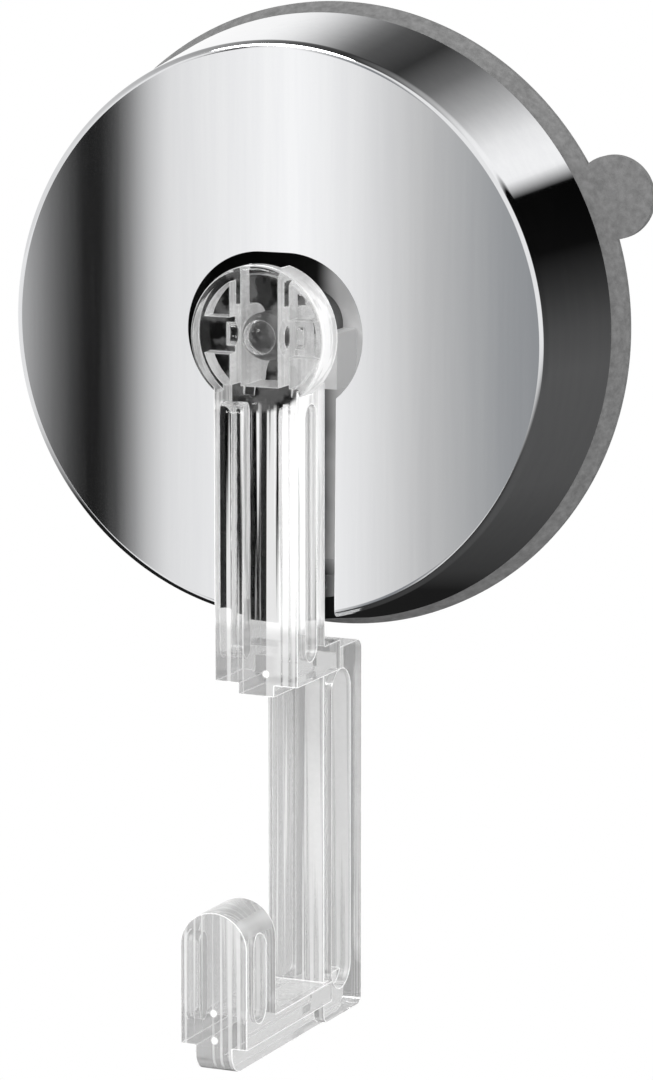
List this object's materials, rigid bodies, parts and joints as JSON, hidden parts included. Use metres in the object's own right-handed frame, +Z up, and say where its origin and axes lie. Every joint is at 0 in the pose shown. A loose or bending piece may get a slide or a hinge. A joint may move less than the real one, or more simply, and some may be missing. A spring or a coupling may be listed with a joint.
{
  "type": "suction cup hook with lever lock",
  "caption": "Suction cup hook with a mirror-chromed drum cover, a soft grey cup with a pull tab and a clear plastic hook that lifts to release the cup.",
  "frame": {"origin": "centre of the cup's sealing face, on the wall", "axes": "+Y into the wall, +Z up, the hook hangs down along -Z and its front faces -Y"},
  "size_m": [0.0692, 0.032, 0.1091],
  "materials": {
    "cup_rubber": "soft grey, matt",
    "black_plastic": "black, smooth",
    "mirror_chrome": "mirror plating",
    "grey_plastic": "mid grey",
    "clear_plastic": "clear moulded plastic"
  },
  "bodies": {
    "body": {"suction_cup": "cup_rubber", "base": "black_plastic", "cover": "mirror_chrome"},
    "stem_body": {"stem": "grey_plastic"},
    "lever": {"hook": "clear_plastic"}
  },
  "joints": [
    {"name": "stem_slide", "type": "slide", "parent": "body", "child": "stem_body", "axis": [0, 1, 0], "range_m": [0, 0.002], "deforming": ["suction_cup"]},
    {"name": "lever_hinge", "type": "hinge", "parent": "stem_body", "child": "lever", "pos_m": [0, -0.0176, 0], "axis": [-1, 0, 0], "range_deg": [0, 90]}
  ],
  "couplings": [
    {"joint": "stem_slide", "follows": "lever_hinge", "m_per_rad": 0.00127}
  ]
}
